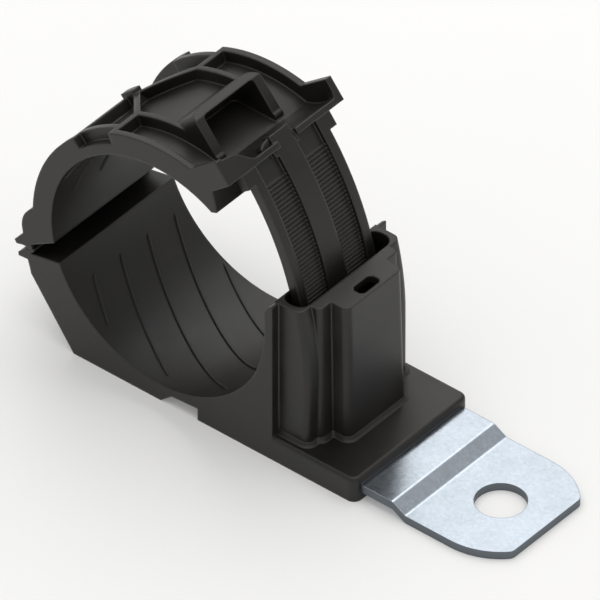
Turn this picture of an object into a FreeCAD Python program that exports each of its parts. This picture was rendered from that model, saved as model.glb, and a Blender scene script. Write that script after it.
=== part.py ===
"""Ratchet P clamp with a steel mounting plate.

One black moulding makes the saddle, the foot, the ratchet tower and, past a film
hinge, the ribbed jaw with its curved toothed strap.  A joggled steel plate is
moulded into the foot.  The moulding is drawn in two pieces, split at the film
hinge, so that the jaw can turn.

Frame: millimetres, +Z up, origin at the centre of the bolt hole on the underside
of the plate, +X from the saddle towards the end of the plate, Y across the clamp.
"""
import FreeCAD, Part
import math
import os

# Widths and the foot
body_width = 28.0
foot_thickness = 4.6
foot_corner_radius = 1.5
foot_edge_radius = 0.7
foot_apron = 7.6             # foot beyond the back of the tower
plate_reach = 18.0           # bolt hole to the end of the foot

# Steel plate
plate_width = 25.0
plate_thickness = 1.5
plate_rise = 1.5             # height of the joggle
plate_joggle_run = 2.6       # length of the sloping stretch
plate_joggle_gap = 6.3       # foot to the start of the joggle
plate_bend_radius = 0.8
plate_end_reach = 9.3        # bolt hole to the cut end
plate_corner_radius = 1.5
plate_insert = 11.2          # length held inside the foot
plate_lock_hole = 6.0        # hole that the plastic fills
bolt_hole_diameter = 8.5

# Saddle
bore_radius = 21.8
saddle_floor = 3.2
saddle_wall = 1.5            # bore to the first step of the tower
heel_reach = 17.4            # bore centre back to the bottom corner
saddle_crown_radius = 2.6    # rounding where the bore meets the tower top
relief_length = 7.6          # shallow notch in the underside
relief_depth = 2.3
relief_offset = 4.3          # bore centre to the middle of the notch

# Tower: three stepped blocks, each as (length, inset from the side, corner radius)
tower_height = 30.8
tower_steps = ((4.35, 1.7, 1.2), (1.75, 4.4, 0.8), (3.3, 7.2, 1.2))
tower_draft = 0.8            # growth of each face from top to foot
slot_length = 4.65           # ratchet slot, along X
slot_wall = 0.8              # bore to the slot
slot_side_wall = 2.7         # side of the clamp to the slot
slot_floor = 4.0
slot_corner_radius = 2.0
pawl_thickness = 1.5
pawl_half_width = 5.2
pawl_side_cut = 0.4
pawl_gap = 1.3               # top of the pawl to the roof above it
pawl_root = 9.0
pawl_tooth_count = 4
pawl_engage_angle = 3.0      # first pawl tooth, seen from the hinge
release_pocket_length = 3.25
release_roof = 1.5
release_slot_length = 2.3
release_slot_width = 4.7
release_slot_corner = 0.6

# Film hinge, placed from the centre of the bore
hinge_reach = 26.5
hinge_drop = 7.9
hinge_bead_radius = 0.6
hinge_clearance = 0.05
hinge_cradle_wall = 0.5
saddle_face_slope = 10.9
jaw_face_slope = 30.5
lower_lip_angle = 225.4
lower_lip_length = 3.15
upper_lip_angle = 194.8
upper_lip_length = 2.66

# Corners beside the film hinge, each as (along X, along Z) from its axis
saddle_face_start = (0.43, -1.33)
lower_lip_back = (-2.13, -2.91)
lower_lip_root = (-0.25, -2.76)
heel_top = (0.45, -5.35)
jaw_face_start = (0.53, 0.62)
upper_lip_back = (-2.97, -0.05)
upper_lip_root = (-1.2, 2.0)
jaw_back_low = (-1.43, 3.6)
jaw_back_middle = (-0.9, 6.1)

# Jaw
jaw_shift_x = 0.6            # centre of the jaw's outer form from the bore centre
jaw_shift_z = -0.3
jaw_floor_radius = 24.2
rib_height = 2.05
rib_thickness = 1.0
side_wall = 1.2
notch_start = 114.0          # the side walls step inwards between these angles
notch_end = 133.0
notch_inset = 1.7
inner_rib_inset = 6.65       # side of the clamp to the rib that meets the hood
chevron_angle = 129.0
chevron_nub = 0.8            # height of the nub where the chevron meets the cross rib

# Pry hood, placed from the centre of the jaw's outer form
hood_start = 0.4
hood_rise = 2.95             # bar above the crest of the ribs
hood_bar = 1.7
hood_lean = 0.87             # run of the back for each millimetre of its height
hood_wall = 1.8
hood_corner_radius = 2.0
hood_reach = 6.9
hood_foot_rise = 1.0         # end of the hood's side above the floor of the jaw
hood_foot_round = 0.7
pocket_back = -1.8           # undercut behind the bar
pocket_corner_radius = 0.9

# Nose and strap, placed from the hinge
nose_start_angle = 72.0      # end of the shell, seen from the jaw's centre
nose_angle = 39.4
nose_root_step = 2.37        # inside of the strap to the root of the nose
nose_tip_step = 3.97         # inside of the strap to the tip of the hook
nose_tip_angle = 35.05
hook_angle = 59.5            # hook at the bore, seen from the bore centre
nose_lip = 1.05
nose_lip_thickness = 0.85
nose_lip_step = 0.3          # lip in front of the strap
nose_hollow = 0.5            # sag of the floor behind the lip
ridge_height = 1.8
ridge_setback = 1.1
ridge_top = 0.4
ridge_overhang = 0.7         # ridge beyond each side of the centre rail
lip_overlap = 1.6            # near lip across the centre ridge
wing_height = 4.35
wing_fold_width = 7.65
wing_back_fold_width = 1.6
wing_fold_curve = ((0, 1), (0.25, 0.88), (0.46, 0.8), (0.62, 0.63), (0.79, 0.27), (1, 0))
strap_clearance = 0.2
strap_thickness = 1.8
strap_width = 18.1
strap_tip_angle = 7.0
strap_rail = 1.75
strap_centre_rail = 4.4
centre_rail_top_angle = 42.0
strap_lane_depth = 0.6
tooth_pitch = 0.7
tooth_depth = 0.5
tooth_top_angle = 35.4
strap_shoulder = 1.6
strap_shoulder_angle = 36.6

# Places worked out from the sizes
half_width = body_width / 2
foot_end_x = -plate_reach
tower_back_x = foot_end_x - foot_apron
saddle_right_x = tower_back_x - sum(length for length, inset, radius in tower_steps)
bore_x = saddle_right_x - saddle_wall - bore_radius
bore_z = saddle_floor + bore_radius
heel_x = bore_x - heel_reach
hinge_x = bore_x - hinge_reach
hinge_z = bore_z - hinge_drop
slot_left_x = bore_x + bore_radius + slot_wall
slot_right_x = slot_left_x + slot_length
slot_half_width = half_width - slot_side_wall
jaw_x = bore_x + jaw_shift_x
jaw_z = bore_z + jaw_shift_z
wall_radius = jaw_floor_radius + rib_height
rib_line = half_width - inner_rib_inset
hood_half_width = rib_line + rib_thickness / 2
strap_inner = math.hypot(slot_left_x + strap_clearance - hinge_x, tower_height - hinge_z)
strap_outer = strap_inner + strap_thickness
pawl_top = tower_height - release_roof - pawl_gap
hood_top_z = jaw_z + wall_radius + hood_rise


def vector(x, y, z):
    return FreeCAD.Vector(x, y, z)


def polar(radius, angle, centre=(hinge_x, hinge_z)):
    """Point at a radius and an angle in degrees, seen from the front."""
    turn = math.radians(angle)
    return centre[0] + radius * math.cos(turn), centre[1] + radius * math.sin(turn)


def from_hinge(offset):
    return hinge_x + offset[0], hinge_z + offset[1]


def side_profile(points, y_near, y_far):
    """Extrude an outline in the XZ plane across the clamp.

    A leg is the next corner, or a pair of a point on the way and the end of an arc.
    """
    here = points[0]
    edges = []
    for leg in points[1:] + [points[0]]:
        start = vector(here[0], y_near, here[1])
        if isinstance(leg[0], tuple):
            middle, end = leg
            edges.append(Part.Arc(start, vector(middle[0], y_near, middle[1]),
                                  vector(end[0], y_near, end[1])).toShape())
            here = end
        elif math.dist(here, leg) > 1e-6:
            edges.append(Part.makeLine(start, vector(leg[0], y_near, leg[1])))
            here = leg
    return Part.Face(Part.Wire(edges)).extrude(vector(0, y_far - y_near, 0))


def ring_sector(centre, inner, outer, angle_from, angle_to, y_near, y_far):
    """Part of a ring about an axis along Y."""
    middle = (angle_from + angle_to) / 2
    return side_profile([polar(inner, angle_from, centre),
                         (polar(inner, middle, centre), polar(inner, angle_to, centre)),
                         polar(outer, angle_to, centre),
                         (polar(outer, middle, centre), polar(outer, angle_from, centre))],
                        y_near, y_far)


def cross_cylinder(centre, radius, y_near=-half_width - 1, y_far=half_width + 1):
    return Part.makeCylinder(radius, y_far - y_near, vector(centre[0], y_near, centre[1]),
                             vector(0, 1, 0))


def block(x_from, x_to, y_from, y_to, z_from, z_to):
    return Part.makeBox(x_to - x_from, y_to - y_from, z_to - z_from,
                        vector(x_from, y_from, z_from))


def upright_edges(solid):
    """Edges that run mostly along Z."""
    found = []
    for edge in solid.Edges:
        run = edge.Vertexes[-1].Point - edge.Vertexes[0].Point
        if edge.Length > 1 and abs(run.z) > 0.9 * edge.Length:
            found.append(edge)
    return found


def tapered_block(x_from, x_to, half_top, z_top, growth, back_growth, radius):
    """Block with draft: each side grows towards the foot."""
    def level(z, extra, back):
        return [vector(x_from, half_top + extra, z), vector(x_from, -half_top - extra, z),
                vector(x_to + back, -half_top - extra, z), vector(x_to + back, half_top + extra, z)]
    top = level(z_top, 0, 0)
    low = level(0, growth, back_growth)
    sides = [(low[n], low[(n + 1) % 4], top[(n + 1) % 4], top[n]) for n in range(4)]
    faces = [Part.Face(Part.makePolygon([*corners, corners[0]]))
             for corners in [top, low[::-1], *sides]]
    solid = Part.Solid(Part.Shell(faces))
    return solid.makeFillet(radius, [edge for edge in upright_edges(solid)
                                     if edge.CenterOfMass.x > x_to - 0.01])


def joined(first, *others):
    """Fuse solids and drop the seams between faces that line up."""
    return first.multiFuse(list(others)).removeSplitter()


def mounting_plate():
    """Joggled strip with a bolt hole and a rounded, cut-off end."""
    top_x = foot_end_x + plate_joggle_gap
    low_x = top_x + plate_joggle_run
    inner_x = foot_end_x - plate_insert
    half = plate_width / 2
    strip = side_profile([(inner_x, plate_rise), (top_x, plate_rise), (low_x, 0),
                          (plate_end_reach + half, 0), (plate_end_reach + half, plate_thickness),
                          (low_x, plate_thickness), (top_x, plate_rise + plate_thickness),
                          (inner_x, plate_rise + plate_thickness)], -half, half)
    bends = [edge for edge in strip.Edges
             if edge.Length > plate_width - 1
             and top_x - 0.01 < edge.CenterOfMass.x < low_x + 0.01]
    strip = strip.makeFillet(plate_bend_radius, bends)
    # The end follows a circle about the bolt hole and is cut off square
    outline = Part.makeCylinder(half, 2 * foot_thickness, vector(0, 0, -1))
    outline = outline.fuse(block(inner_x - 1, 0, -half, half, -1, 2 * foot_thickness - 1))
    outline = outline.common(block(inner_x - 1, plate_end_reach, -half, half,
                                   -1, 2 * foot_thickness - 1)).removeSplitter()
    corners = [edge for edge in outline.Edges
               if edge.Length > foot_thickness and edge.CenterOfMass.x > plate_end_reach - 0.01
               and abs(edge.Vertexes[0].Point.x - edge.Vertexes[-1].Point.x) < 0.01
               and abs(edge.Vertexes[0].Point.y - edge.Vertexes[-1].Point.y) < 0.01]
    outline = outline.makeFillet(plate_corner_radius, corners)
    plate = strip.common(outline)
    hole = Part.makeCylinder(bolt_hole_diameter / 2, foot_thickness, vector(0, 0, -1))
    lock = Part.makeCylinder(plate_lock_hole / 2, foot_thickness,
                             vector(foot_end_x - plate_insert / 2, 0, 0))
    return plate.cut(hole).cut(lock)


def saddle():
    """Saddle with the lower half of the film hinge and its stop lip."""
    face_left = from_hinge(saddle_face_start)
    face_rise = math.tan(math.radians(saddle_face_slope)) * heel_reach / 2
    crown_x = bore_x + bore_radius
    crown_turn = saddle_crown_radius * (1 - math.sqrt(0.5))
    outline = [(heel_x, 0), (saddle_right_x, 0), (saddle_right_x, tower_height),
               (crown_x + saddle_crown_radius / 2, tower_height),
               ((crown_x + crown_turn / 2, tower_height - crown_turn),
                (crown_x, tower_height - saddle_crown_radius)),
               (crown_x, bore_z), (bore_x, bore_z),
               (face_left[0] + heel_reach / 2, face_left[1] + face_rise),
               face_left, (hinge_x, hinge_z),
               polar(lower_lip_length, lower_lip_angle), from_hinge(lower_lip_back),
               from_hinge(lower_lip_root), from_hinge(heel_top)]
    body = side_profile(outline, -half_width, half_width)
    body = body.cut(cross_cylinder((bore_x, bore_z), bore_radius))
    seat = hinge_bead_radius + hinge_clearance
    cradle = ring_sector((hinge_x, hinge_z), seat, seat + hinge_cradle_wall,
                         lower_lip_angle, 345, -half_width, half_width)
    body = body.fuse(cradle).cut(cross_cylinder((hinge_x, hinge_z), seat))
    middle = bore_x + relief_offset
    relief = side_profile([(middle - relief_length / 2, -1), (middle - relief_length / 2, 0),
                           (middle - relief_length / 5, relief_depth * 0.85),
                           (middle + relief_length / 2, relief_depth),
                           (middle + relief_length / 2, -1)], -half_width - 1, half_width + 1)
    return body.cut(relief)


def foot():
    """Flat foot that holds the plate, with rounded corners and top edges."""
    solid = block(saddle_right_x - 2, foot_end_x, -half_width, half_width, 0, foot_thickness)
    corners = [edge for edge in upright_edges(solid)
               if edge.CenterOfMass.x > foot_end_x - 0.01]
    solid = solid.makeFillet(foot_corner_radius, corners)
    rim = [edge for edge in solid.Edges
           if edge.BoundBox.ZMin > foot_thickness - 0.01
           and edge.CenterOfMass.x > saddle_right_x]
    return solid.makeFillet(foot_edge_radius, rim)


def tower():
    """Stepped tower, widest at the saddle, where its back bulges along the strap's path."""
    length, inset, radius = tower_steps[0]
    start = saddle_right_x - saddle_wall / 2
    x = saddle_right_x + length
    reach = math.hypot(x - hinge_x, tower_height - hinge_z)
    turn = math.degrees(math.atan2(tower_height - hinge_z, x - hinge_x))
    first = side_profile([(start, 0), (hinge_x + reach, 0), (hinge_x + reach, hinge_z),
                          (polar(reach, turn / 2), (x, tower_height)), (start, tower_height)],
                         inset - half_width, half_width - inset)
    blocks = [first.makeFillet(radius, [edge for edge in upright_edges(first)
                                        if edge.CenterOfMass.x > saddle_right_x])]
    for length, inset, radius in tower_steps[1:]:
        x += length
        blocks.append(tapered_block(start, x, half_width - inset, tower_height,
                                    tower_draft / 2, tower_draft, radius))
    return blocks


def rounded_well(x_from, x_to, half, z_from, z_to, radius):
    well = block(x_from, x_to, -half, half, z_from, z_to)
    return well.makeFillet(radius, upright_edges(well))


def tooth_row(tip_radius, root_radius, back_radius, angle_from, count, y_near, y_far):
    """Strip with sawtooth ridges on its outer or inner side, about the hinge."""
    step = math.degrees(tooth_pitch / tip_radius)
    points = []
    for number in range(count):
        start = angle_from + number * step
        points.append(polar(root_radius, start))
        points.append(polar(tip_radius, start + 0.35 * step))
        points.append(polar(tip_radius, start + 0.55 * step))
    end = angle_from + count * step
    points.append(polar(root_radius, end))
    points.append(polar(back_radius, end))
    points.append((polar(back_radius, (angle_from + end) / 2), polar(back_radius, angle_from)))
    return side_profile(points, y_near, y_far)


def ratchet_tools():
    """Cuts for the strap slot, the pawl and the release pocket in the tower."""
    pawl_right = slot_right_x + pawl_thickness
    slot = rounded_well(slot_left_x, slot_right_x, slot_half_width, slot_floor,
                        tower_height + 1, min(slot_corner_radius, 0.45 * slot_length))
    pocket = block(pawl_right, pawl_right + release_pocket_length,
                   -pawl_half_width - pawl_side_cut, pawl_half_width + pawl_side_cut,
                   pawl_root, tower_height - release_roof)
    over_pawl = block(slot_right_x - 1, pawl_right + 0.5, -pawl_half_width - pawl_side_cut,
                      pawl_half_width + pawl_side_cut, pawl_top, tower_height - release_roof)
    cuts = [slot, pocket, over_pawl]
    for side in (-1, 1):
        edges = sorted((side * pawl_half_width, side * (pawl_half_width + pawl_side_cut)))
        cuts.append(block(slot_right_x - 1, pawl_right + 0.5, edges[0], edges[1],
                          pawl_root, tower_height - release_roof))
    right = pawl_right + release_pocket_length
    left = right - release_slot_length
    half = release_slot_width / 2
    clip = release_slot_corner
    corners = [(left + clip, -half), (right - clip, -half), (right, -half + clip),
               (right, half - clip), (right - clip, half), (left + clip, half),
               (left, half - clip), (left, -half + clip)]
    points = [vector(x, y, tower_height - 2 * release_roof) for x, y in corners]
    opening = Part.Face(Part.makePolygon(points + [points[0]]))
    cuts.append(opening.extrude(vector(0, 0, 3 * release_roof)))
    return cuts


def pawl_teeth():
    """Two short racks on the pawl, drawn back just clear of the strap's teeth."""
    tip = strap_outer - strap_lane_depth + strap_clearance / 2
    inner = strap_centre_rail / 2 + strap_clearance
    racks = []
    for side in (-1, 1):
        near, far = sorted((side * inner, side * pawl_half_width))
        racks.append(tooth_row(tip, tip + tooth_depth / 2, slot_right_x + 0.3 - hinge_x,
                               pawl_engage_angle, pawl_tooth_count, near, far))
    return racks


def base_moulding(plate):
    body = joined(saddle(), foot(), *tower())
    body = body.cut(cross_cylinder((bore_x, bore_z), bore_radius).common(
        block(bore_x - bore_radius - 1, bore_x + bore_radius + 1, -half_width - 1,
              half_width + 1, 0, bore_z)))
    body = body.cut(ratchet_tools())
    body = joined(body, *pawl_teeth())
    return body.cut(plate)


def jaw_shell_and_walls():
    """Curved shell with side walls that step inwards part of the way round."""
    centre = (jaw_x, jaw_z)
    hinge_end = 180.0
    pieces = [ring_sector(centre, bore_radius - 1, jaw_floor_radius, nose_start_angle,
                          hinge_end, -half_width, half_width)]
    for side in (-1, 1):
        outside = side * half_width
        inside = side * (half_width - side_wall)
        near, far = sorted((outside, inside))
        for start, end in ((nose_start_angle + 4, notch_start), (notch_end, hinge_end)):
            pieces.append(ring_sector(centre, jaw_floor_radius - 0.5, wall_radius, start, end,
                                      near, far))
        near, far = sorted((outside - side * notch_inset, inside - side * notch_inset))
        pieces.append(ring_sector(centre, jaw_floor_radius - 0.5, wall_radius, notch_start - 1,
                                  notch_end + 1, near, far))
    return pieces


def jaw_ribs():
    """Cross ribs, the two long ribs and the chevron with its nub."""
    centre = (jaw_x, jaw_z)
    base = jaw_floor_radius - 0.5
    rib_turn = math.degrees(rib_thickness / wall_radius)
    hood_angle = math.degrees(math.acos(hood_start / wall_radius)) - 1
    pieces = [ring_sector(centre, base, wall_radius, notch_end, notch_end + rib_turn,
                          -half_width, chevron_nub),
              ring_sector(centre, base, wall_radius, notch_end - 1, notch_end + rib_turn,
                          half_width - side_wall - notch_inset, half_width),
              ring_sector(centre, base, wall_radius + chevron_nub, chevron_angle - 1,
                          notch_end + rib_turn, -chevron_nub, chevron_nub)]
    crown = polar(wall_radius, notch_start - 1, centre)
    apex = polar(wall_radius, chevron_angle, centre)
    for side in (-1, 1):
        near, far = sorted((side * half_width, side * (rib_line - rib_thickness / 2)))
        pieces.append(ring_sector(centre, base, wall_radius, notch_start - rib_turn,
                                  notch_start, near, far))
        pieces.append(ring_sector(centre, base, wall_radius, hood_angle, notch_start - 0.5,
                                  side * rib_line - rib_thickness / 2,
                                  side * rib_line + rib_thickness / 2))
        run = vector(apex[0] - crown[0], -side * rib_line, 0)
        slab = Part.makeBox(run.Length, rib_thickness, 2 * wall_radius,
                            vector(0, -rib_thickness / 2, 0))
        slab.rotate(vector(0, 0, 0), vector(0, 0, 1), math.degrees(math.atan2(run.y, run.x)))
        slab.translate(vector(crown[0], side * rib_line, jaw_z))
        ring = ring_sector(centre, base, wall_radius, notch_start - 4, notch_end + 4,
                           -half_width, half_width)
        pieces.append(ring.common(slab))
    return pieces


def leaning_prism(x_from, x_to, half, radius, z_from, run, rise):
    """Prism that leans towards the nose, with round corners on the side of the hinge."""
    corners = [vector(x_from, -half, z_from), vector(x_to, -half, z_from),
               vector(x_to, half, z_from), vector(x_from, half, z_from)]
    solid = Part.Face(Part.makePolygon([*corners, corners[0]])).extrude(vector(run, 0, rise))
    back = [edge for edge in solid.Edges
            if edge.BoundBox.ZLength > rise - 0.01
            and edge.CenterOfMass.x < x_from + run / 2 + 0.01]
    return solid.makeFillet(radius, back)


def pry_hood():
    """Leaning hood open towards the nose, where a screwdriver lifts the jaw."""
    left = jaw_x + hood_start
    low = jaw_z + bore_radius - 2
    end = jaw_x + hood_reach
    foot_top = jaw_z + math.sqrt(jaw_floor_radius ** 2 - hood_reach ** 2) + hood_foot_rise
    run = hood_lean * (hood_top_z - low)
    turn = hood_foot_round * math.sqrt(0.5)
    outline = [(left - run, low), (left, hood_top_z), (left + hood_bar, hood_top_z),
               (end - hood_foot_round, foot_top),
               ((end - hood_foot_round + turn, foot_top - hood_foot_round + turn),
                (end, foot_top - hood_foot_round)), (end, low)]
    shell = side_profile(outline, -hood_half_width, hood_half_width)
    return shell.common(leaning_prism(left - run, end + 1, hood_half_width,
                                      hood_corner_radius, low, run, hood_top_z - low))


def hood_pocket():
    """Cut inside the hood, with a flat floor and an undercut behind the bar."""
    back = jaw_x + pocket_back
    floor = polar(jaw_floor_radius, nose_start_angle, (jaw_x, jaw_z))
    lean = (jaw_x + hood_start + hood_bar - back) / (hood_top_z - floor[1])
    rise = hood_top_z + 1 - floor[1]
    return leaning_prism(back, floor[0], hood_half_width - hood_wall, pocket_corner_radius,
                         floor[1], lean * rise, rise)


def nose_point(setback, rise):
    """Point by its distance behind and above the lower edge of the lip."""
    turn = math.radians(nose_angle)
    low = polar(strap_outer + nose_lip_step, nose_angle)
    return (low[0] - setback * math.cos(turn) - rise * math.sin(turn),
            low[1] - setback * math.sin(turn) + rise * math.cos(turn))


def nose_underside():
    """Corners from the end of the shell round the hook to the root of the strap."""
    return [polar(bore_radius - 1, nose_start_angle, (jaw_x, jaw_z)),
            polar(bore_radius - 1, nose_start_angle - 6, (jaw_x, jaw_z)),
            polar(bore_radius, hook_angle, (bore_x, bore_z)),
            polar(strap_inner - nose_tip_step, nose_tip_angle),
            polar(strap_inner - nose_root_step, nose_angle)]


def nose_slice(lip, y_near, y_far):
    """Slice of the nose whose floor sags between the shell and the top of the lip."""
    top = lip[-1]
    floor = polar(jaw_floor_radius, nose_start_angle, (jaw_x, jaw_z))
    run = (floor[0] - top[0], floor[1] - top[1])
    length = math.hypot(*run)
    sag = ((floor[0] + top[0]) / 2 - nose_hollow * run[1] / length,
           (floor[1] + top[1]) / 2 + nose_hollow * run[0] / length)
    return side_profile(nose_underside() + lip + [(sag, floor)], y_near, y_far)


def nose():
    """End of the jaw: hook at the bore, lip, centre ridge and two raised wings."""
    lip = [nose_point(0, 0), nose_point(0, nose_lip), nose_point(nose_lip_thickness, nose_lip)]
    ridge = [nose_point(nose_lip_step, -nose_lip), nose_point(ridge_setback, ridge_height),
             nose_point(ridge_setback + ridge_top, ridge_height)]
    ridge_half = strap_centre_rail / 2 + ridge_overhang
    pieces = [nose_slice(lip, -half_width, lip_overlap - ridge_half),
              nose_slice(ridge, -ridge_half, ridge_half),
              nose_slice(lip, ridge_half, half_width)]
    centre = (jaw_x, jaw_z)
    wing = nose_underside()[:3] + nose_underside()[4:]
    wing += [nose_point(0, 0), nose_point(0, wing_height),
             polar(wall_radius, nose_start_angle + 4.5, centre),
             polar(jaw_floor_radius, nose_start_angle + 8, centre)]
    for side in (-1, 1):
        near, far = sorted((side * half_width, side * (half_width - side_wall)))
        pieces.append(side_profile(wing, near, far))
    return pieces


def wing_folds():
    """Curved plates across the end of the jaw that fold the wings into the lip."""
    turn = math.radians(nose_angle)
    inward = vector(-math.cos(turn), 0, -math.sin(turn)) * side_wall
    folds = []
    for side, width in ((-1, wing_fold_width), (1, wing_back_fold_width)):
        def place(across, rise):
            x, z = nose_point(0, rise)
            return vector(x, side * (half_width - across * width), z)
        crest = [place(across, nose_lip + share * (wing_height - nose_lip))
                 for across, share in wing_fold_curve]
        curve = Part.BSplineCurve()
        curve.interpolate(crest)
        edges = [curve.toShape(), Part.makeLine(crest[-1], place(1, 0)),
                 Part.makeLine(place(1, 0), place(0, 0)), Part.makeLine(place(0, 0), crest[0])]
        folds.append(Part.Face(Part.Wire(edges)).extrude(inward))
    return folds


def strap():
    """Curved strap: two side rails, a centre rail and two lanes of teeth."""
    half = strap_width / 2
    centre_half = strap_centre_rail / 2
    hinge = (hinge_x, hinge_z)
    lane_outer = half - strap_rail
    root_angle = nose_angle + 0.4
    pieces = [ring_sector(hinge, strap_inner, strap_outer, strap_tip_angle,
                          centre_rail_top_angle, -centre_half, centre_half)]
    lane_top = strap_outer - strap_lane_depth
    pitch_angle = math.degrees(tooth_pitch / lane_top)
    count = int((tooth_top_angle - strap_tip_angle) / pitch_angle)
    for side in (-1, 1):
        near, far = sorted((side * lane_outer, side * half))
        pieces.append(ring_sector(hinge, strap_inner, strap_outer, strap_tip_angle,
                                  root_angle, near, far))
        near, far = sorted((side * centre_half, side * lane_outer))
        pieces.append(tooth_row(lane_top, lane_top - tooth_depth, strap_inner,
                                strap_tip_angle, count, near, far))
        pieces.append(ring_sector(hinge, strap_inner, lane_top - tooth_depth / 2,
                                  strap_tip_angle + count * pitch_angle, root_angle,
                                  near, far))
        near, far = sorted((side * half, side * (half + strap_shoulder)))
        shoulder = ring_sector(hinge, strap_inner, strap_outer, strap_shoulder_angle,
                               root_angle, near, far)
        pieces.append(shoulder)
    return pieces


def hinge_block():
    """Jaw side of the film hinge, with the bead it turns on and its stop lip."""
    face_left = from_hinge(jaw_face_start)
    slope = math.radians(jaw_face_slope)
    reach = heel_reach / 2
    shoulder = polar(wall_radius, 179, (jaw_x, jaw_z))
    outline = [(hinge_x, hinge_z), face_left,
               (face_left[0] + reach * math.cos(slope), face_left[1] + reach * math.sin(slope)),
               (jaw_x - bore_radius + 1, jaw_z + 1), shoulder,
               (from_hinge(jaw_back_middle), from_hinge(jaw_back_low)),
               from_hinge(upper_lip_root), from_hinge(upper_lip_back),
               polar(upper_lip_length, upper_lip_angle)]
    solid = side_profile(outline, -half_width, half_width)
    bead = cross_cylinder((hinge_x, hinge_z), hinge_bead_radius, -half_width, half_width)
    return solid.fuse(bead)


def jaw_moulding():
    pieces = jaw_shell_and_walls() + jaw_ribs() + nose() + wing_folds()
    body = joined(hinge_block(), pry_hood(), *pieces).cut(hood_pocket())
    body = body.cut(cross_cylinder((bore_x, bore_z), bore_radius))
    return joined(body, *strap())


def write(name, shape):
    solids = shape.Solids
    result = solids[0] if len(solids) == 1 else Part.makeCompound(solids)
    result.exportStep("parts/" + name + ".step")
    box = result.BoundBox
    print(name, "solids", len(solids), "valid", result.isValid(),
          "volume %.1f" % result.Volume, "box %.2f %.2f %.2f to %.2f %.2f %.2f"
          % (box.XMin, box.YMin, box.ZMin, box.XMax, box.YMax, box.ZMax))


os.makedirs("parts", exist_ok=True)
steel = mounting_plate()
write("mounting_plate", steel)
write("base_moulding", base_moulding(steel))
write("jaw_moulding", jaw_moulding())
print("hinge", round(hinge_x, 3), round(hinge_z, 3), "strap inner radius", round(strap_inner, 3))
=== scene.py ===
# %% [markdown]
# # A ratchet P clamp in black nylon on a zinc-plated plate
#
# The clamp is one nylon moulding: a saddle with a foot, a ratchet tower, and a jaw
# that bends on a thin film hinge and locks with a toothed strap. A joggled steel
# plate is moulded into the foot. The solid model already has these shapes, so this
# lesson is mostly about light, materials, and the small soft things that a solid
# model does badly, such as the film of the hinge.

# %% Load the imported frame
import math

import bmesh
import bpy
import numpy as np
from mathutils import Matrix, Vector


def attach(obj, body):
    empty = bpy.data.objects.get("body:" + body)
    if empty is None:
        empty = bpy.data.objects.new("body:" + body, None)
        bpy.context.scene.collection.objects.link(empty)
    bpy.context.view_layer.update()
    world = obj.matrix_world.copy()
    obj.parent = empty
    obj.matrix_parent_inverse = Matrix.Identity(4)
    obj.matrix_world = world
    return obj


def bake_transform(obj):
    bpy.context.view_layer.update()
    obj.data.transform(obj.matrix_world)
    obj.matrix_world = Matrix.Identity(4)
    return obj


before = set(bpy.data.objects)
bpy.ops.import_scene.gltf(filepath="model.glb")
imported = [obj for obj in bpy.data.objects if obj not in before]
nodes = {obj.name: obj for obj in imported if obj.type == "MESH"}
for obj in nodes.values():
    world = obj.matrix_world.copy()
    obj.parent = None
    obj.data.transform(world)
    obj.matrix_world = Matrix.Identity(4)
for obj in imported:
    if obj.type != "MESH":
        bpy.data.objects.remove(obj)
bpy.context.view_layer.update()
print("nodes:", sorted(nodes))

# %% [markdown]
# Colours are written as sRGB hex values, the way a paint chart or a photo editor
# gives them. Blender's shaders work in linear light, so one function converts them,
# and every colour in the file goes through it.

# %% Colours
def linear(code, alpha=1.0):
    """sRGB hex to linear RGBA: each channel below 0.04045 is divided by 12.92,
    and the others are ((c + 0.055) / 1.055) to the power 2.4."""
    channels = [int(code[i:i + 2], 16) / 255 for i in (1, 3, 5)]
    return [c / 12.92 if c <= 0.04045 else ((c + 0.055) / 1.055) ** 2.4
            for c in channels] + [alpha]


MM = 0.001

# %% [markdown]
# The view is steep and from the right, and it has almost no perspective: parallel
# edges stay parallel. A very long lens from far away does the same as a parallel
# projection, and it still behaves like a normal camera when it is moved round.

# %% Camera
azimuth, elevation = math.radians(39.83), math.radians(39.62)
towards = Vector((math.sin(azimuth) * math.cos(elevation),
                  -math.cos(azimuth) * math.cos(elevation), math.sin(elevation)))
across = Vector((math.cos(azimuth), math.sin(azimuth), 0))
upwards = towards.cross(across)
aim = Vector((-42.30, 1.66, 18.72)) * MM
distance = 4.0
view_width = 94.13 * MM

camera_data = bpy.data.cameras.new("camera")
camera_data.sensor_width = 36
camera_data.lens = camera_data.sensor_width * distance / view_width
camera_data.clip_start = 0.1
camera_data.clip_end = 20
camera = bpy.data.objects.new("camera", camera_data)
bpy.context.scene.collection.objects.link(camera)
turn = Matrix((across, upwards, towards)).transposed().to_4x4()
camera.matrix_world = Matrix.Translation(aim + towards * distance) @ turn
bpy.context.scene.camera = camera
print("lens %.0f mm" % camera_data.lens)

# %% [markdown]
# A material is a small graph of nodes. This helper adds one node, sets its values
# and links its inputs, so that a graph reads from top to bottom as a list. A value
# that is a node's output is linked, and any other value is set on the socket.

# %% One helper for nodes
def add_node(tree, kind, links=None, **settings):
    """A node of one kind. settings are the node's own properties, and links maps an
    input's name or number to an output socket or to a plain value."""
    node = tree.nodes.new(kind)
    for name, value in settings.items():
        setattr(node, name, value)
    for name, value in (links or {}).items():
        if isinstance(value, bpy.types.NodeSocket):
            tree.links.new(value, node.inputs[name])
        else:
            node.inputs[name].default_value = value
    return node


def blend_colours(tree, share, first, second):
    """first where share is 0, second where it is 1. A Mix node keeps its colour
    sockets at 6 and 7, and its colour result at 2."""
    mix = add_node(tree, "ShaderNodeMix", {0: share, 6: first, 7: second},
                   data_type="RGBA")
    return mix.outputs[2]


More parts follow.
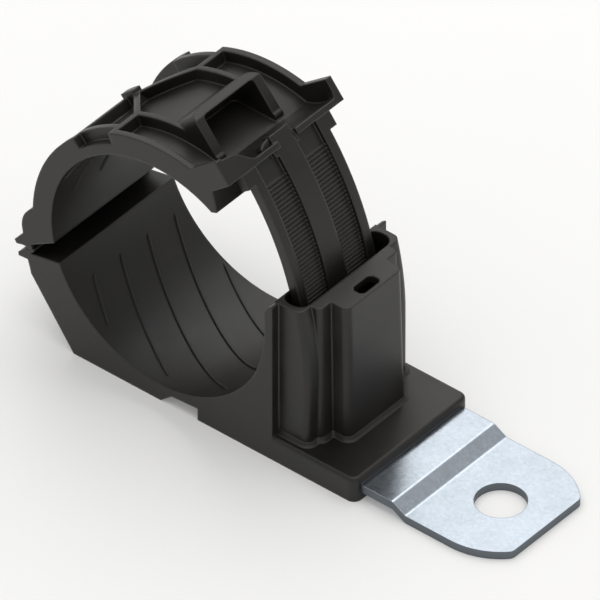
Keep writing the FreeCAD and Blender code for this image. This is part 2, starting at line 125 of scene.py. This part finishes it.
def new_material(name):
    """An empty material and its node tree."""
    material = bpy.data.materials.new(name)
    material.use_nodes = True
    material.node_tree.nodes.clear()
    return material, material.node_tree


# %% [markdown]
# Product pictures like this one are taken on a white sweep under big, soft lamps.
# The floor is a pale matt sheet. Seen by the camera, or in a gloss or through glass,
# it is lifted a little towards white, so that the soft shadows stay light, and the
# lamps needn't be stronger than the object wants.

# %% Floor
floor_half = 3.0                        # in metres
floor_lift = 0.15


def pale_sweep():
    """Matt paper with faint clouds of 100 mm, mixed with floor_lift of plain white
    where a camera, glossy or transmission ray meets it."""
    material, tree = new_material("pale_paper_sweep")
    place = add_node(tree, "ShaderNodeTexCoord").outputs["Object"]
    clouds = add_node(tree, "ShaderNodeTexNoise", {"Vector": place, "Scale": 1 / (100 * MM),
                      "Detail": 3.0})
    tone = blend_colours(tree, clouds.outputs["Fac"], linear("#f6f6f5"), linear("#fafaf9"))
    paper = add_node(tree, "ShaderNodeBsdfDiffuse", {"Color": tone})
    white = add_node(tree, "ShaderNodeEmission", {"Color": (1, 1, 1, 1), "Strength": 1.0})
    path = add_node(tree, "ShaderNodeLightPath")
    seen = add_node(tree, "ShaderNodeMath", {0: path.outputs["Is Camera Ray"],
                    1: path.outputs["Is Glossy Ray"]}, operation="MAXIMUM")
    seen = add_node(tree, "ShaderNodeMath", {0: seen.outputs[0],
                    1: path.outputs["Is Transmission Ray"]}, operation="MAXIMUM")
    lift = add_node(tree, "ShaderNodeMath", {0: seen.outputs[0], 1: floor_lift},
                    operation="MULTIPLY")
    mix = add_node(tree, "ShaderNodeMixShader", {0: lift.outputs[0], 1: paper.outputs[0],
                   2: white.outputs[0]})
    add_node(tree, "ShaderNodeOutputMaterial", {"Surface": mix.outputs[0]})
    return material


floor_mesh = bpy.data.meshes.new("sweep")
floor_mesh.from_pydata([(-floor_half, -floor_half, 0), (floor_half, -floor_half, 0),
                        (floor_half, floor_half, 0), (-floor_half, floor_half, 0)],
                       [], [(0, 1, 2, 3)])
floor = bpy.data.objects.new("sweep", floor_mesh)
floor_mesh.materials.append(pale_sweep())
bpy.context.scene.collection.objects.link(floor)
print("floor %.0f m wide" % (2 * floor_half))

# %% [markdown]
# Three soft boxes and a pale room light the clamp. An area lamp's brightness as
# seen from the object is its power divided by pi times its area, so the helper
# takes the brightness and works out the power: a brightness of 1 is white paper.
# The overhead box is large and not much brighter than that, because bright zinc
# mirrors it, and a small strong lamp would burn out there.

# %% Lamps and room
def soft_box(name, place, size, brightness, colour="#ffffff"):
    """Square lamp at a place in metres that faces the clamp."""
    lamp = bpy.data.lights.new(name, "AREA")
    lamp.shape = "SQUARE"
    lamp.size = size
    lamp.energy = brightness * math.pi * size * size
    lamp.color = linear(colour)[:3]
    holder = bpy.data.objects.new(name, lamp)
    holder.location = place
    look = Vector(place) - aim
    holder.rotation_euler = look.to_track_quat("Z", "Y").to_euler()
    bpy.context.scene.collection.objects.link(holder)
    print(name, "%.2f W" % lamp.energy)
    return holder


soft_box("overhead_box", (-0.15, 0.12, 0.80), 0.98, 1.28)
soft_box("back_left_box", (-0.55, 0.55, 0.55), 0.62, 0.92, "#fffefc")
soft_box("front_right_box", (0.45, -0.55, 0.35), 0.40, 0.30, "#fffaf2")

world = bpy.data.worlds.new("pale_room")
world.use_nodes = True
world.node_tree.nodes.clear()
room = add_node(world.node_tree, "ShaderNodeBackground",
                {"Color": linear("#f5f4f3"), "Strength": 0.62})
add_node(world.node_tree, "ShaderNodeOutputWorld", {"Surface": room.outputs[0]})
bpy.context.scene.world = world
bpy.context.scene.view_settings.view_transform = "Standard"

# %% [markdown]
# The moulding is black polyamide 66, shot into a spark-eroded steel tool. Its skin
# is satin with a fine, even grain, a little cloudy where the melt flowed, and every
# edge has the small radius of the tool, which catches a thin line of light. The
# Bevel node rounds the shading at the edges. The gap between the true normal and the
# rounded one finds the edges, where a paler colour is painted in as a highlight.

# %% Black nylon
def moulded_black_nylon():
    """Grain of 0.12 mm is drawn at 0.3 mm so that it shows. Clouds are 9 mm."""
    material, tree = new_material("moulded_black_nylon")
    place = add_node(tree, "ShaderNodeTexCoord").outputs["Object"]
    grain = add_node(tree, "ShaderNodeTexNoise", {"Vector": place, "Scale": 1 / (0.3 * MM),
                     "Detail": 2.0, "Roughness": 0.6})
    clouds = add_node(tree, "ShaderNodeTexNoise", {"Vector": place, "Scale": 1 / (9 * MM),
                      "Detail": 4.0, "Roughness": 0.55})
    rounded = add_node(tree, "ShaderNodeBevel", {"Radius": 0.5 * MM}, samples=8)
    bump = add_node(tree, "ShaderNodeBump", {"Height": grain.outputs["Fac"],
                    "Normal": rounded.outputs[0], "Strength": 0.25,
                    "Distance": 0.03 * MM})
    true_normal = add_node(tree, "ShaderNodeNewGeometry").outputs["Normal"]
    facing = add_node(tree, "ShaderNodeVectorMath", {0: true_normal, 1: rounded.outputs[0]},
                      operation="DOT_PRODUCT")
    # edge is the mask of the painted highlight: 0 on flat faces and 1 where the rounded
    # normal turns away
    edge = add_node(tree, "ShaderNodeMapRange", {"Value": facing.outputs["Value"],
                    "From Min": 0.995, "From Max": 0.80, "To Min": 0.0, "To Max": 1.0})
    skin = add_node(tree, "ShaderNodeValToRGB", {"Fac": clouds.outputs["Fac"]})
    skin.color_ramp.elements[0].position = 0.35
    skin.color_ramp.elements[0].color = linear("#1a1817")
    skin.color_ramp.elements[1].position = 0.70
    skin.color_ramp.elements[1].color = linear("#23211f")
    # painted highlight: the paler #383634 along the edges stands in for the line of light
    # they catch
    colour = blend_colours(tree, edge.outputs[0], skin.outputs[0], linear("#383634"))
    gloss = add_node(tree, "ShaderNodeMapRange", {"Value": clouds.outputs["Fac"],
                     "From Min": 0.3, "From Max": 0.7, "To Min": 0.36, "To Max": 0.46})
    shell = add_node(tree, "ShaderNodeBsdfPrincipled", {"Base Color": colour,
                     "Roughness": gloss.outputs[0], "Normal": bump.outputs[0], "IOR": 1.53,
                     "Specular IOR Level": 0.38})
    add_node(tree, "ShaderNodeOutputMaterial", {"Surface": shell.outputs[0]})
    return material


nylon = moulded_black_nylon()
print(nylon.name, len(nylon.node_tree.nodes), "nodes")

# %% [markdown]
# The plate is cold-rolled strip with a bright zinc coat. The coat is a fine mosaic
# of crystals that differ a little in gloss, under faint lines from the rolls. The
# cut edges and the wall of the hole show where the punch sheared and tore the
# steel: they are greyer and rougher. A face whose normal lies flat is such an edge.

# %% Zinc plate
def bright_zinc_coat():
    """Crystals of 0.5 mm, rolling lines 0.15 mm apart and drawn at 0.3 mm."""
    material, tree = new_material("bright_zinc_coat")
    coords = add_node(tree, "ShaderNodeTexCoord")
    place = coords.outputs["Object"]
    crystals = add_node(tree, "ShaderNodeTexVoronoi", {"Vector": place,
                        "Scale": 1 / (0.5 * MM)})
    clouds = add_node(tree, "ShaderNodeTexNoise", {"Vector": place, "Scale": 1 / (5 * MM),
                      "Detail": 5.0, "Roughness": 0.6})
    stretched = add_node(tree, "ShaderNodeMapping", {"Vector": place,
                         "Scale": (1 / (12 * MM), 1 / (0.3 * MM), 1 / (0.3 * MM))})
    lines = add_node(tree, "ShaderNodeTexNoise", {"Vector": stretched.outputs[0],
                     "Scale": 1.0, "Detail": 2.0})
    spangle = add_node(tree, "ShaderNodeSeparateColor", {"Color": crystals.outputs["Color"]})
    mixed = add_node(tree, "ShaderNodeMath", {0: spangle.outputs[0], 1: 0.35,
                     2: clouds.outputs["Fac"]}, operation="MULTIPLY_ADD")
    tone = add_node(tree, "ShaderNodeValToRGB", {"Fac": mixed.outputs[0]})
    tone.color_ramp.elements[0].position = 0.35
    tone.color_ramp.elements[0].color = linear("#abb4bd")
    tone.color_ramp.elements[1].position = 0.95
    tone.color_ramp.elements[1].color = linear("#bac3cd")
    normal = add_node(tree, "ShaderNodeSeparateXYZ", {"Vector": coords.outputs["Normal"]})
    flat = add_node(tree, "ShaderNodeMath", {0: normal.outputs["Z"]}, operation="ABSOLUTE")
    cut = add_node(tree, "ShaderNodeMapRange", {"Value": flat.outputs[0], "From Min": 0.45,
                   "From Max": 0.2, "To Min": 0.0, "To Max": 1.0})
    colour = blend_colours(tree, cut.outputs[0], tone.outputs[0], linear("#6c7278"))
    gloss = add_node(tree, "ShaderNodeMath", {0: spangle.outputs[1], 1: 0.05, 2: 0.19},
                     operation="MULTIPLY_ADD")
    rough = add_node(tree, "ShaderNodeMath", {0: cut.outputs[0], 1: 0.22,
                     2: gloss.outputs[0]}, operation="MULTIPLY_ADD")
    rounded = add_node(tree, "ShaderNodeBevel", {"Radius": 0.2 * MM}, samples=6)
    relief = add_node(tree, "ShaderNodeMath", {0: lines.outputs["Fac"], 1: 0.5,
                      2: clouds.outputs["Fac"]}, operation="MULTIPLY_ADD")
    bump = add_node(tree, "ShaderNodeBump", {"Height": relief.outputs[0],
                    "Normal": rounded.outputs[0], "Strength": 0.08,
                    "Distance": 0.05 * MM})
    coat = add_node(tree, "ShaderNodeBsdfPrincipled", {"Base Color": colour,
                    "Metallic": 1.0, "Roughness": rough.outputs[0],
                    "Normal": bump.outputs[0]})
    add_node(tree, "ShaderNodeOutputMaterial", {"Surface": coat.outputs[0]})
    return material


zinc = bright_zinc_coat()
print(zinc.name, len(zinc.node_tree.nodes), "nodes")

# %% [markdown]
# The solid model's own meshes stay as they are. Their finish comes from putting a
# material into their slots.

# %% Dress the solid pieces
def dress(name, material):
    """Put one material into every slot of a solid piece."""
    slots = nodes[name].data.materials
    for index in range(len(slots)):
        slots[index] = material
    if not slots:
        slots.append(material)
    print(name, "is dressed in", material.name)


dress("base_moulding", nylon)
dress("jaw_moulding", nylon)
dress("mounting_plate", zinc)

# %% [markdown]
# The rest are fine forms of the moulding that are lighter to sweep here than to cut
# in the solid. Each is one profile carried along a path. A sweep is an array
# of rings of points: quads join each ring to the next, and a flat face closes each
# end, so that the surface has no hole. Several runs can share one mesh.

# %% One helper for swept pieces
def swept_piece(name, rings, material):
    """rings is an array in millimetres: run, ring along the run, point round the
    ring, and the three coordinates."""
    runs, along, around, _ = rings.shape
    index = np.arange(runs * along * around).reshape(runs, along, around)
    turned = np.roll(index, -1, axis=2)
    quads = np.stack([index[:, :-1], turned[:, :-1], turned[:, 1:], index[:, 1:]], axis=-1)
    caps = np.concatenate([index[:, 0], index[:, -1]])
    mesh = bpy.data.meshes.new(name)
    mesh.from_pydata((rings.reshape(-1, 3) * MM).tolist(), [],
                     quads.reshape(-1, 4).tolist() + caps.tolist())
    closed = bmesh.new()
    closed.from_mesh(mesh)
    bmesh.ops.recalc_face_normals(closed, faces=closed.faces)
    closed.to_mesh(mesh)
    closed.free()
    mesh.shade_smooth()
    mesh.set_sharp_from_angle(angle=math.radians(40))
    mesh.materials.append(material)
    piece = bpy.data.objects.new(name, mesh)
    bpy.context.scene.collection.objects.link(piece)
    print(name, len(mesh.vertices), "points")
    return piece


# %% [markdown]
# Inside the bore, thin slanting ribs grip the cables. Each is a low ridge that
# follows the round wall: a half ellipse, 0.52 mm wide and 0.28 mm high, with its foot
# sunk in the wall and its ends drawn in to a round tip. On the saddle the ribs lean
# one way and on the jaw the other, so that a bundle can't walk through the clamp.

# %% Grip ribs
bore = np.array([-58.3, 25.0])          # centre of the bore, along X and Z, in mm
bore_radius = 21.8
rib_width, rib_height, rib_sink, rib_tip = 0.52, 0.28, 0.15, 0.9
rib_pitch = 6.6                         # between ribs, along Y


def grip_ribs(angles, middles):
    """Ribs along the bore's wall. angles and middles hold, for each run, the angle
    about the bore's axis and the place along Y of each ring. A ring is an ellipse
    round v: width/2 cos v along Y, and height sin v towards the axis, where sin v
    is above 0, or the sunk foot below. Near an end both shrink by the root of
    1 - (1 - d/tip) squared, where d is the distance to the end."""
    step = np.hypot(np.diff(angles, axis=1) * bore_radius, np.diff(middles, axis=1))
    run = np.concatenate([np.zeros((len(angles), 1)), np.cumsum(step, axis=1)], axis=1)
    near_end = np.clip(np.minimum(run, run[:, -1:] - run) / rib_tip, 0.02, 1)
    size = np.sqrt(1 - (1 - near_end) ** 2)[..., None]
    v = np.linspace(0, 2 * np.pi, 10, endpoint=False)
    rise = np.where(np.sin(v) > 0, rib_height, rib_sink) * np.sin(v) * size
    radius = bore_radius - rise
    turn = angles[..., None]
    return np.stack([bore[0] + radius * np.cos(turn),
                     middles[..., None] + rib_width / 2 * np.cos(v) * size,
                     bore[1] + radius * np.sin(turn)], axis=-1)


def along_run(start, end, count=44):
    """Even steps from start to end for each run, closer together near both ends."""
    share = np.linspace(0, 1, count)
    share = share - 0.10 * np.sin(2 * np.pi * share)
    return start[:, None] + (end - start)[:, None] * share


# On the saddle a rib starts at start_x, and for each millimetre of X it moves lean
# millimetres towards the near side. It stops where it would leave the saddle.
start_x, stop_x, lean = -76.2, -37.3, 0.54
near_y, far_y = -11.6, 13.4
first_y = -8.5 + rib_pitch * np.arange(6)
rib_x = along_run(np.maximum(start_x, start_x + (first_y - far_y) / lean),
                  np.minimum(stop_x, start_x + (first_y - near_y) / lean))
saddle_angles = 2 * np.pi - np.arccos((rib_x - bore[0]) / bore_radius)
saddle_ribs = swept_piece("saddle_grip_ribs", grip_ribs(
    saddle_angles, first_y[:, None] - lean * (rib_x - start_x)), nylon)
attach(saddle_ribs, "base")

# On the jaw it starts at start_z and leans towards the far side as Z grows
start_z, lean, jaw_half = 27.6, 0.5, 12.6
first_y = -8.8 + rib_pitch * np.arange(-1, 4)
lowest, highest = np.radians(173), np.radians(100)
rib_z = along_run(np.maximum(bore[1] + bore_radius * np.sin(lowest),
                             start_z + (-jaw_half - first_y) / lean),
                  np.minimum(bore[1] + bore_radius * np.sin(highest),
                             start_z + (jaw_half - first_y) / lean))
jaw_angles = np.pi - np.arcsin((rib_z - bore[1]) / bore_radius)
jaw_ribs = swept_piece("jaw_grip_ribs", grip_ribs(
    jaw_angles, first_y[:, None] + lean * (rib_z - start_z)), nylon)
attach(jaw_ribs, "jaw")

# %% [markdown]
# The tower doesn't meet the foot at a sharp corner: the tool leaves a small hollow
# fillet there, which shows as a bright line. Each of the tower's three steps gets
# its own run of it, from the saddle round the back of the step, and where two runs
# meet, they cut into each other as the real ones do.

# %% Fillet at the foot of the tower
foot_top = 4.6
wall_x = -35.0                          # back of the saddle
fillet = 0.7


def fillet_run(back, half, corner):
    """Rings along a plan that goes along the near side, a quarter circle, the back,
    a quarter circle and the far side. A ring is the hollow quarter circle
    (f - f cos a, f - f sin a) outwards and upwards, closed inside the block."""
    turn = np.radians(np.linspace(-90, 0, 8))
    plan = np.stack([back - corner + corner * np.cos(turn),
                     corner - half + corner * np.sin(turn)], axis=-1)
    plan = np.concatenate([[(wall_x - 0.3, -half)], plan, plan[::-1] * (1, -1),
                           [(wall_x - 0.3, half)]])
    normal = np.stack([np.cos(turn), np.sin(turn)], axis=-1)
    normal = np.concatenate([[(0, -1)], normal, normal[::-1] * (1, -1), [(0, 1)]])
    a = np.radians(np.linspace(0, 90, 7))
    out = np.concatenate([fillet - fillet * np.cos(a), [fillet, -0.3, -0.3]])
    up = np.concatenate([fillet - fillet * np.sin(a), [-0.2, -0.2, fillet]])
    spot = plan[:, None] + normal[:, None] * out[None, :, None]
    return np.concatenate([spot, np.broadcast_to(foot_top + up, spot.shape[:2])[..., None]],
                          axis=-1)


# Each step's back along X, half width along Y, and corner radius
tower_steps = ((-28.94, 12.30, 1.2), (-28.22, 9.94, 0.8), (-24.92, 7.14, 1.2))
tower_fillet = swept_piece("tower_foot_fillet", np.stack(
    [fillet_run(*step) for step in tower_steps]), nylon)
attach(tower_fillet, "base")

# %% [markdown]
# At the nose the strap's centre rail runs up into a small crest. On the near side
# the crest doesn't stop short, as the solid's does: it slopes down and round behind
# the end of the lip. Three sections, joined into one surface, give that blend.

# %% Crest of the nose
hinge = np.array([-84.8, 17.1])         # axis of the hinge, along X and Z, in mm
lip_radius = 53.27                      # from the hinge to the lip's lower edge
nose_turn = math.radians(39.4)
outwards = np.array([math.cos(nose_turn), math.sin(nose_turn)])
round_hinge = np.array([-math.sin(nose_turn), math.cos(nose_turn)])


def nose_rings(sections):
    """Each section is a place along Y and corners as (setback, rise): the distance
    behind and above the lip's lower edge. A corner lies at
    hinge + (lip_radius - setback) * outwards + rise * round_hinge."""
    places = np.array([place for place, _ in sections])
    setback, rise = np.moveaxis(np.array([corners for _, corners in sections]), -1, 0)
    spot = (hinge + (lip_radius - setback)[..., None] * outwards
            + rise[..., None] * round_hinge)
    across_y = np.broadcast_to(places[:, None], setback.shape)
    return np.stack([spot[..., 0], across_y, spot[..., 1]], axis=-1)[None]


crest_end = [(0.95, 0.3), (1.00, 1.20), (1.25, 1.40), (2.4, 1.05), (3.8, 0.30), (3.8, -0.6)]
crest_side = [(0.95, 0.3), (0.95, 1.75), (1.15, 2.00), (2.4, 1.55), (3.8, 0.60), (3.8, -0.6)]
crest_root = [(0.95, 0.3), (0.70, 2.10), (0.95, 2.30), (2.4, 1.75), (3.8, 0.70), (3.8, -0.6)]
crest = swept_piece("nose_crest", nose_rings([
    (-4.2, crest_end), (-3.4, crest_side), (-2.0, crest_root)]), nylon)
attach(crest, "jaw")

# %% [markdown]
# The film hinge is a web of nylon, a few tenths of a millimetre thick, between the
# two stop lips.

# %% Film of the hinge
lower_lip, upper_lip = 225.4, 194.8     # angles of the two lips' faces, seen from the hinge
film_half = 13.95                       # half its length along Y


def film_section(count=13):
    """Outside, the radius falls from 1.5 mm at the lips to 0.8 mm in the middle as a
    parabola of the angle. Inside, it is 0.4 mm."""
    middle, reach = (lower_lip + upper_lip) / 2, (lower_lip - upper_lip) / 2
    angle = np.linspace(upper_lip - 4, lower_lip + 4, count)
    outside = 0.8 + 0.7 * np.clip((angle - middle) / reach, -1, 1) ** 2
    radius = np.concatenate([outside, np.full(count, 0.4)])
    turn = np.radians(np.concatenate([angle, angle[::-1]]))
    return hinge[0] + radius * np.cos(turn), hinge[1] + radius * np.sin(turn)


film_x, film_z = film_section()
film_y = np.linspace(-film_half, film_half, 5)[:, None]
film = swept_piece("hinge_film", np.stack(np.broadcast_arrays(film_x, film_y, film_z),
                                          axis=-1)[None], nylon)


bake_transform(film)
